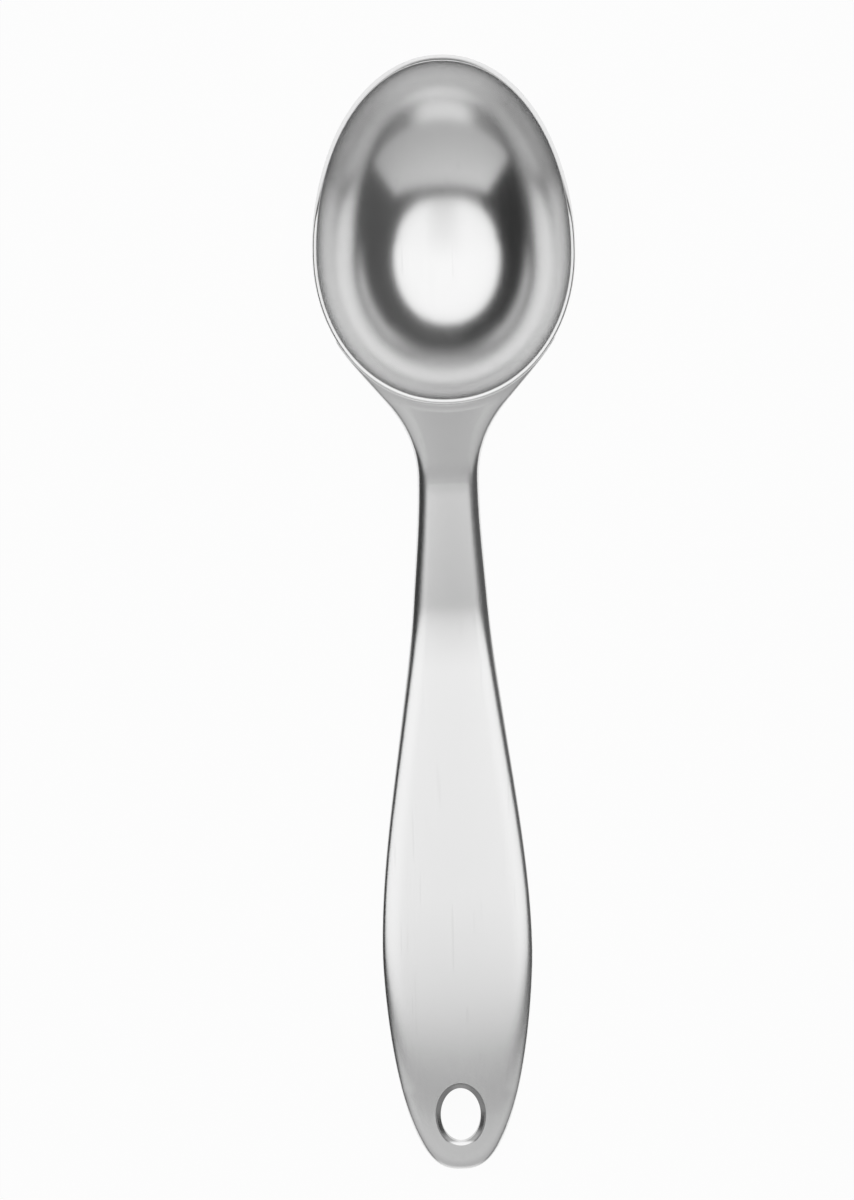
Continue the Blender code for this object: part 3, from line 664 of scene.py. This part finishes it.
def model_neck(steel_finish, weld_finish):
    """The neck fitting with its flare and spigot, and the weld between the flare and the bowl."""
    stations = evenly(FLARE_Y, ROOT_Y - FILLET_WIDTH, FLARE_STATION)
    stations += evenly(stations[-1], SHOULDER_Y, NECK_STATION)[1:]
    flare = [flare_section(y) for y in stations]
    spigot_stations = evenly(SHOULDER_Y, SPIGOT_END_Y, HANDLE_STATION)
    spigot = [section(y, SHELL_WALL + JOINT_GAP) for y in spigot_stations]
    fitting = sheet("neck_casting", [*flare, *spigot])
    finish_edit(fitting, fill=True)
    weld = sheet("bowl_fillet_weld", flare)
    finish_edit(weld, fill=True)
    weld_back = bowl_solid("weld_back", 2 * JOINT_GAP + BOWL_WELD_THICKNESS)
    weld_seat = bowl_solid("weld_seat", -WELD_BITE)
    bore = tang_bore()
    cut(fitting, weld_back)
    cut(fitting, bore)
    cut(weld, weld_back, "INTERSECT")
    cut(weld, weld_seat)
    discard(weld_back, weld_seat, bore)
    hand_over(fitting, "neck_fitting", steel_finish)
    hand_over(weld, "bowl_weld", weld_finish)


def model_neck_weld(finish):
    """The ring of weld metal round the spigot, ground flush with the neck and the shells."""
    outside = [section(y) for y in evenly(SHOULDER_Y, SHELL_FRONT_Y, NECK_STATION)]
    inside = [section(y, SHELL_WALL) for y in (SHELL_FRONT_Y, SHOULDER_Y)]
    piece = sheet("neck_ring_weld", [*outside, *inside, outside[0]])
    finish_edit(piece)
    hand_over(piece, "neck_weld", finish)


def mirror(piece):
    apply_modifier(piece, "MIRROR", merge_threshold=MERGE_DISTANCE)


def model_shell(name, node, upper, finish):
    """One pressed half of the handle: its outer skin, mirrored, then given its wall."""
    ribs = handle_ribs()
    if upper:
        rows = [rib.top_side(start=rib.start) for rib in ribs]
    else:  # ground flat where it would go below the table
        sides = [rib.under_side(start=rib.start) for rib in ribs]
        rows = [[Vector((point.x, point.y, max(0, point.z))) for point in side] for side in sides]
    piece = sheet(name, rows)
    mirror(piece)
    finish_edit(piece)
    face_outwards(piece, (1, 0, 0))
    apply_modifier(piece, "SOLIDIFY", thickness=SHELL_WALL, offset=-1, use_even_offset=True)
    hand_over(piece, node, finish)


def model_seam_weld(finish):
    """The strip of weld metal between the two shells, round the whole edge."""
    rows = []
    for rib in handle_ribs():
        outer, inner = rib.reach, rib.reach - SHELL_WALL
        heights = (SEAM_LAND, SEAM_LAND / 2, 0, -SEAM_LAND / 2, -SEAM_LAND)
        outside = [rib.point(outer, height) for height in heights]
        inside = [rib.point(inner, height) for height in reversed(heights)]
        rows.append([*outside, *inside, outside[0]])
    piece = sheet("seam_strip_weld", rows)
    mirror(piece)
    finish_edit(piece, fill=True)
    hand_over(piece, "handle_seam_weld", finish)


def eye_row(grow, upper, inset=0.0):
    """Points of the handle's skin round the eye."""
    across, along = EYE_WIDTH / 2 + grow, EYE_LENGTH / 2 + grow
    points = []
    for step in range(4 * EYE_STEPS + 1):
        turn = math.pi / 2 * step / EYE_STEPS
        y = EYE_Y + along * math.sin(turn)
        points.append(skin_point(across * math.cos(turn), y, upper, inset))
    return points


def model_eye(steel_finish, weld_finish):
    """The sleeve with its chamfered mouths, and the weld rings round it."""
    ends = []
    for upper in (True, False):
        rows = []
        for step in range(CORNER_STEPS + 1):
            share = step / CORNER_STEPS
            rows.append(eye_row(EYE_MOUTH_ACROSS * share, upper, EYE_MOUTH_DROP * (1 - share)))
        rows.append(eye_row(EYE_WALL, upper))
        ends.append(rows)
    piece = sheet("eye_sleeve", [*ends[0], *reversed(ends[1]), ends[0][0]])
    finish_edit(piece)
    hand_over(piece, "hanging_eye_sleeve", steel_finish, EYE_SHARP_ANGLE)
    near, far = EYE_WALL, EYE_HOLE_GROW
    corners = ((near, 0), (far, 0), (far, SHELL_WALL), (near, SHELL_WALL), (near, 0))
    for name, node, upper in (
        ("eye_ring_weld_top", "eye_weld_front", True),
        ("eye_ring_weld_under", "eye_weld_back", False),
    ):
        piece = sheet(name, [eye_row(grow, upper, inset) for grow, inset in corners])
        finish_edit(piece)
        hand_over(piece, node, weld_finish)


# Finishes. The scales of their patterns are in waves per metre

ALONG_HANDLE = (2600, 90, 2600)
IN_BOWL = (900, 60, 900)
CLOUD_SCALE = 45.0
UNEVEN = 0.03  # how far brush lines and clouds change roughness and brightness
SCRATCHES = (  # turn and scale
    (0.5, (1500, 55, 1500)),
    (-0.9, (1200, 45, 1200)),
    (2.2, (1400, 60, 1400)),
)
SCRATCH_FADE = (0.80, 0.86)  # only the peaks of the noise are scratches
SCRATCH_ROUGHER = 0.01
SCRATCH_DARKER = 0.03
SCRATCH_RELIEF = 0.3
RELIEF_DISTANCE = 0.0002
DULL_FADE = (-0.0155, -0.0090)  # heights in the bowl, below its rim, where it gets duller
PAINTED_MOUTH_SHADE_SPAN = (EYE_Y - 0.0054, EYE_Y - 0.0048)  # where the eye sleeve's painted shade ends, towards the tail


class Socket:
    """A value in a material: arithmetic on it adds Math nodes."""

    def __init__(self, finish, socket):
        self.finish = finish
        self.socket = socket

    def maths(self, operation, *values):
        return self.finish.add("Math", dict(enumerate(values)), operation=operation)

    def __abs__(self):
        return self.maths("ABSOLUTE", self)

    def __add__(self, other):
        return self.maths("ADD", self, other)

    def __mul__(self, other):
        return self.maths("MULTIPLY", self, other)

    def __sub__(self, other):
        return self.maths("SUBTRACT", self, other)

    def __rsub__(self, other):
        return self.maths("SUBTRACT", other, self)

    __radd__ = __add__
    __rmul__ = __mul__


class Finish:
    """A material, or the world, under construction."""

    def __init__(self, holder):
        holder.use_nodes = True
        self.tree = holder.node_tree
        self.tree.nodes.clear()

    def add(self, kind, inputs=None, output=0, **settings):
        """Adds a node with its settings and its sockets' values or links. Returns an output."""
        node = self.tree.nodes.new("ShaderNode" + kind)
        for name, value in settings.items():
            setattr(node, name, value)
        for name, value in (inputs or {}).items():
            if isinstance(value, Socket):
                self.tree.links.new(value.socket, node.inputs[name])
            else:
                node.inputs[name].default_value = value
        if not node.outputs:
            return None
        return Socket(self, node.outputs[output])


def seen_directly(finish):
    """1 for rays from the camera, off gloss and through glass, 0 for light that falls on things."""
    rays = ("Is Camera Ray", "Is Glossy Ray", "Is Transmission Ray")
    return sum(finish.add("LightPath", output=ray) for ray in rays)


def fade(finish, value, span, smooth=False):
    """0 up to the start of the span, 1 from its end on."""
    kind = "SMOOTHSTEP" if smooth else "LINEAR"
    inputs = {"Value": value, "From Min": span[0], "From Max": span[1]}
    return finish.add("MapRange", inputs, output="Result", interpolation_type=kind)


def coordinate(finish, axis):
    """A point's X, Y or Z."""
    place = finish.add("TexCoord", output="Object")
    return finish.add("SeparateXYZ", {"Vector": place}, output=axis)


def noise(finish, place, detail, scale=1.0):
    """Noise from 0 to 1, mostly near its middle."""
    inputs = {"Vector": place, "Scale": scale, "Detail": detail}
    return finish.add("TexNoise", inputs, output="Fac")


def grey(finish, level):
    """The colour that has this brightness."""
    inputs = {"Red": level, "Green": level, "Blue": level}
    return finish.add("CombineColor", inputs, output="Color")


def steel(name, bright, roughness, grain=ALONG_HANDLE, depth=0.02, duller=0.0, painted_mouth_shade=0.0):
    """Satin stainless steel, with fine brush lines, cloudy patches and a few faint scratches, and
    if asked, painted shade that darkens the eye sleeve but for its end towards the tail.
    """
    made = bpy.data.materials.new(name)
    finish = Finish(made)
    place = finish.add("TexCoord", output="Object")
    along = finish.add("Mapping", {"Vector": place, "Scale": grain})
    lines = noise(finish, along, detail=2.0) - 0.5
    clouds = noise(finish, place, detail=3.0, scale=CLOUD_SCALE) - 0.5
    scratches = 0
    for turn, scale in SCRATCHES:
        askew = finish.add("Mapping", {"Vector": place, "Rotation": (0, 0, turn), "Scale": scale})
        scratches = scratches + fade(finish, noise(finish, askew, detail=0.0), SCRATCH_FADE)
    rough = roughness + lines * UNEVEN + clouds * UNEVEN + scratches * SCRATCH_ROUGHER
    shade = bright * (1 + clouds * UNEVEN + lines * UNEVEN - scratches * SCRATCH_DARKER)
    if duller:
        y, z = coordinate(finish, "Y"), coordinate(finish, "Z")
        height = z - (y - BOWL_Y) * math.tan(BOWL_TILT) - BOWL_Z
        rough = rough + fade(finish, height, DULL_FADE, smooth=True) * duller
    # Painted shade: the colour is darker over all of the eye sleeve but its end towards the tail,
    # standing in for dark reflections at the eye's mouth
    if painted_mouth_shade:
        line = fade(finish, coordinate(finish, "Y"), PAINTED_MOUTH_SHADE_SPAN, smooth=True)
        shade = shade * (1 - line * painted_mouth_shade)
    relief = lines - scratches * SCRATCH_RELIEF
    shader = finish.add("BsdfPrincipled", {
        "Base Color": grey(finish, shade),
        "Metallic": 1.0,
        "Roughness": rough,
        "Normal": finish.add("Bump", {
            "Height": relief,
            "Strength": depth,
            "Distance": RELIEF_DISTANCE,
        }, output="Normal"),
    })
    finish.add("OutputMaterial", {"Surface": shader})
    return made


def shining(name, level):
    """A material that only shines. Its level is a number, or a function of the finish."""
    made = bpy.data.materials.new(name)
    finish = Finish(made)
    colour = grey(finish, level(finish)) if callable(level) else (level, level, level, 1)
    shader = finish.add("Emission", {"Color": colour, "Strength": 1.0})
    finish.add("OutputMaterial", {"Surface": shader})
    return made


handle_steel = steel("handle_steel", 0.84, 0.22)
bowl_steel = steel("bowl_steel", 0.84, 0.165, grain=IN_BOWL, depth=0.004, duller=0.08)
weld_steel = steel("weld_steel", 0.83, 0.225)
# Painted shade: the eye sleeve's steel is a darker copy of the handle's steel, all but its end
# towards the tail
eye_steel_painted_shade = steel("eye_steel_painted_shade", 0.84, 0.22, painted_mouth_shade=0.55)
bar_steel = steel("bar_steel", 0.6, 0.25, depth=0.05)
for name in ("tang_bar", "tang_anchor_block"):
    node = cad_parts[name]
    node.data.materials.clear()
    node.data.materials.append(bar_steel)

model_bowl(bowl_steel)
model_neck(handle_steel, weld_steel)
model_neck_weld(weld_steel)
model_shell("handle_top_pressing", "handle_front_shell", True, handle_steel)
model_shell("handle_under_pressing", "handle_back_shell", False, handle_steel)
model_seam_weld(weld_steel)
model_eye(eye_steel_painted_shade, weld_steel)


# The studio: a lit ceiling, dark walls, a grey card in front and a white table

SKY_LIGHT = 0.35  # on things; it is 1 where it is seen directly
FLOOR_REACH = 3
FLOOR_HEIGHT = -0.0005
FLOOR_WHITENESS = 0.95
PAPER = (0.9, 0.9, 0.9, 1)

SOFTBOX_HEIGHT = 1.5
SOFTBOX_MIDDLE = (-0.105, 0.18)
SOFTBOX_HALF_WIDTH = 1.225
SOFTBOX_BACK = 1.46
SOFTBOX_FRONT = 0.70
SOFTBOX_STEPS = 96
SOFTBOX_SQUARING = 0.8  # power that makes its front squarer than its back
SOFTBOX_LEVEL = 1.115
CLOTH_DIM = 0.06  # lost towards the front
CLOTH_FADE = (-0.5, 0.3)  # y
ARM_DIM = 0.24  # lost behind the camera's arm too
ARM_FADE = (0.05, 0.45)  # x, either side

GAP_HEIGHT = SOFTBOX_HEIGHT + 0.005
GAP_LEFT = -0.9
GAP_RIGHT = 0.7
GAP_BACK = -0.45
GAP_LEVEL = 0.149

CEILING_HEIGHT = SOFTBOX_HEIGHT + 0.01
CEILING_FRONT = -0.69
CEILING_PARTING = -0.4
LEFT_LEVEL = 0.028
RIGHT_LEVEL = 0.084

ROOM_SIDE = 2.2
ROOM_BACK = 2.4
ROOM_FRONT = -1.9
WALL_LEVEL = 0.056
WALL_RISE = 0.012  # per metre to the right
WALL_LIT = 0.93  # more where light falls on it
LIT_BEHIND_TIP = 0.35  # share of that behind the bowl's tip
LIT_SIDES_FADE = (0.2, 0.7)  # radians to either side of +Y
LIT_END_FADE = (1.25, 1.65)
LIT_TOP_FADE = (0.28, 0.56)  # height over distance

FRONT_Y = -0.83
FRONT_TOP = 1.8
FRONT_LEFT = -1.33
FRONT_RIGHT = 1.43
FRONT_END = 2.6
FRONT_HIGH = 0.483
FRONT_RISE = 0.158
FRONT_RISE_FADE = (0.6, 1.4)  # z
FRONT_LOW = 0.223
FRONT_LOW_FADE = (0.34, 0.5)  # z
FRONT_SLANT = 0.07  # lost per metre to the right
PATCH_LIT = 0.595  # more than the low part round it
PATCH_X = -0.03
PATCH_FADE = (0.2, 0.52)  # x, either side

world = bpy.data.worlds.new("studio")
bpy.context.scene.world = world
sky = Finish(world)
sky_level = SKY_LIGHT + seen_directly(sky) * (1 - SKY_LIGHT)
background = sky.add("Background", {"Color": grey(sky, sky_level), "Strength": 1.0})
sky.add("OutputWorld", {"Surface": background})


def only_reflected(card):
    """Hides a card from the camera, and from the light that falls on things."""
    card.visible_camera = False
    card.visible_diffuse = False
    card.visible_shadow = False


def stage_card(name, corners, finish):
    """A flat card between four corners, listed in order round it."""
    bpy.ops.object.select_all(action="DESELECT")
    bpy.ops.mesh.primitive_plane_add(size=1)
    plane = bpy.context.active_object
    plane.name = name
    loop = [plane.data.loops[index].vertex_index for index in plane.data.polygons[0].loop_indices]
    for index, corner in zip(loop, corners):
        plane.data.vertices[index].co = corner
    plane.data.materials.append(finish)
    return plane


def level_corners(x0, x1, y0, y1, z):
    return (x0, y0, z), (x1, y0, z), (x1, y1, z), (x0, y1, z)


def ceiling_card(name, x0, x1, y1, z, finish):
    """A card of the ceiling, from its front to y1."""
    only_reflected(stage_card(name, level_corners(x0, x1, CEILING_FRONT, y1, z), finish))


def upright_card(name, start, end, top, finish):
    """A card that stands at the table's level, from one (x, y) to another."""
    corners = ((*start, 0), (*end, 0), (*end, top), (*start, top))
    only_reflected(stage_card(name, corners, finish))


def floor_material():
    """White paper that takes shadows and looks white."""
    made = bpy.data.materials.new("floor")
    finish = Finish(made)
    paper = finish.add("BsdfDiffuse", {"Color": PAPER})
    white = finish.add("Emission", {"Color": (1, 1, 1, 1), "Strength": 1.0})
    share = seen_directly(finish) * FLOOR_WHITENESS
    shader = finish.add("MixShader", {0: share, 1: paper, 2: white})
    finish.add("OutputMaterial", {"Surface": shader})
    return made


def softbox_level(finish):
    """The cloth dims a little towards the front, more so behind the camera's arm."""
    x, y = coordinate(finish, "X"), coordinate(finish, "Y")
    front = 1 - fade(finish, y, CLOTH_FADE)
    arm = 1 - fade(finish, abs(x), ARM_FADE, smooth=True)
    return SOFTBOX_LEVEL - front * (CLOTH_DIM + arm * ARM_DIM)


def front_level(finish):
    """Grey, lighter upwards and to the left, with a lit patch low in its middle."""
    x, z = coordinate(finish, "X"), coordinate(finish, "Z")
    high = FRONT_HIGH + fade(finish, z, FRONT_RISE_FADE) * FRONT_RISE
    patch = 1 - fade(finish, abs(x - PATCH_X), PATCH_FADE, smooth=True)
    low = FRONT_LOW + patch * PATCH_LIT
    level = low + (high - low) * fade(finish, z, FRONT_LOW_FADE, smooth=True)
    return level * (1 - x * FRONT_SLANT)


def wall_level(finish):
    """Dark, but light near the table behind the bowl's tip and on both sides of it."""
    x, y, z = [coordinate(finish, axis) for axis in "XYZ"]
    turn = finish.add("Math", {0: abs(x), 1: y}, operation="ARCTAN2")
    away = finish.add("Math", {0: x * x + y * y}, operation="SQRT")
    steep = finish.add("Math", {0: z, 1: away}, operation="DIVIDE")
    sides = fade(finish, turn, LIT_SIDES_FADE, smooth=True) * (1 - LIT_BEHIND_TIP)
    lit = (LIT_BEHIND_TIP + sides) * (1 - fade(finish, turn, LIT_END_FADE))
    low = 1 - fade(finish, steep, LIT_TOP_FADE, smooth=True)
    return WALL_LEVEL + x * WALL_RISE + lit * low * WALL_LIT


floor_corners = level_corners(-FLOOR_REACH, FLOOR_REACH, -FLOOR_REACH, FLOOR_REACH, FLOOR_HEIGHT)
stage_card("floor", floor_corners, floor_material())

bpy.ops.mesh.primitive_circle_add(vertices=SOFTBOX_STEPS, radius=1, fill_type="NGON")
softbox = bpy.context.active_object
softbox.name = "softbox"
for vert in softbox.data.vertices:
    across, along = vert.co.x, vert.co.y
    if along < 0:
        across = math.copysign(abs(across) ** SOFTBOX_SQUARING, across)
        along = -abs(along) ** SOFTBOX_SQUARING
    reach = SOFTBOX_BACK if along > 0 else SOFTBOX_FRONT
    vert.co = (
        SOFTBOX_MIDDLE[0] + across * SOFTBOX_HALF_WIDTH,
        SOFTBOX_MIDDLE[1] + along * reach,
        SOFTBOX_HEIGHT,
    )
softbox.data.materials.append(shining("softbox_cloth", softbox_level))
softbox.visible_camera = False

left_dark = shining("left_dark", LEFT_LEVEL)
right_dark = shining("right_dark", RIGHT_LEVEL)
gap_grey = shining("gap_grey", GAP_LEVEL)
for name, x0, x1, y1, z, finish in (
    ("ceiling_left", -ROOM_SIDE, CEILING_PARTING, ROOM_BACK, CEILING_HEIGHT, left_dark),
    ("ceiling_right", CEILING_PARTING, ROOM_SIDE, ROOM_BACK, CEILING_HEIGHT, right_dark),
    ("gap_card", GAP_LEFT, GAP_RIGHT, GAP_BACK, GAP_HEIGHT, gap_grey),
):
    ceiling_card(name, x0, x1, y1, z, finish)

walls = shining("wall", wall_level)
for name, start, end in (
    ("wall_left", (-ROOM_SIDE, ROOM_FRONT), (-ROOM_SIDE, ROOM_BACK)),
    ("wall_back", (-ROOM_SIDE, ROOM_BACK), (ROOM_SIDE, ROOM_BACK)),
    ("wall_right", (ROOM_SIDE, ROOM_FRONT), (ROOM_SIDE, ROOM_BACK)),
):
    upright_card(name, start, end, CEILING_HEIGHT, walls)

for name, x0, x1, finish in (
    ("front_card", FRONT_LEFT, FRONT_RIGHT, shining("front_card", front_level)),
    ("front_left", -FRONT_END, FRONT_LEFT, left_dark),
    ("front_right", FRONT_RIGHT, FRONT_END, right_dark),
):
    upright_card(name, (x0, FRONT_Y), (x1, FRONT_Y), FRONT_TOP, finish)

bpy.context.scene.view_settings.view_transform = "Standard"
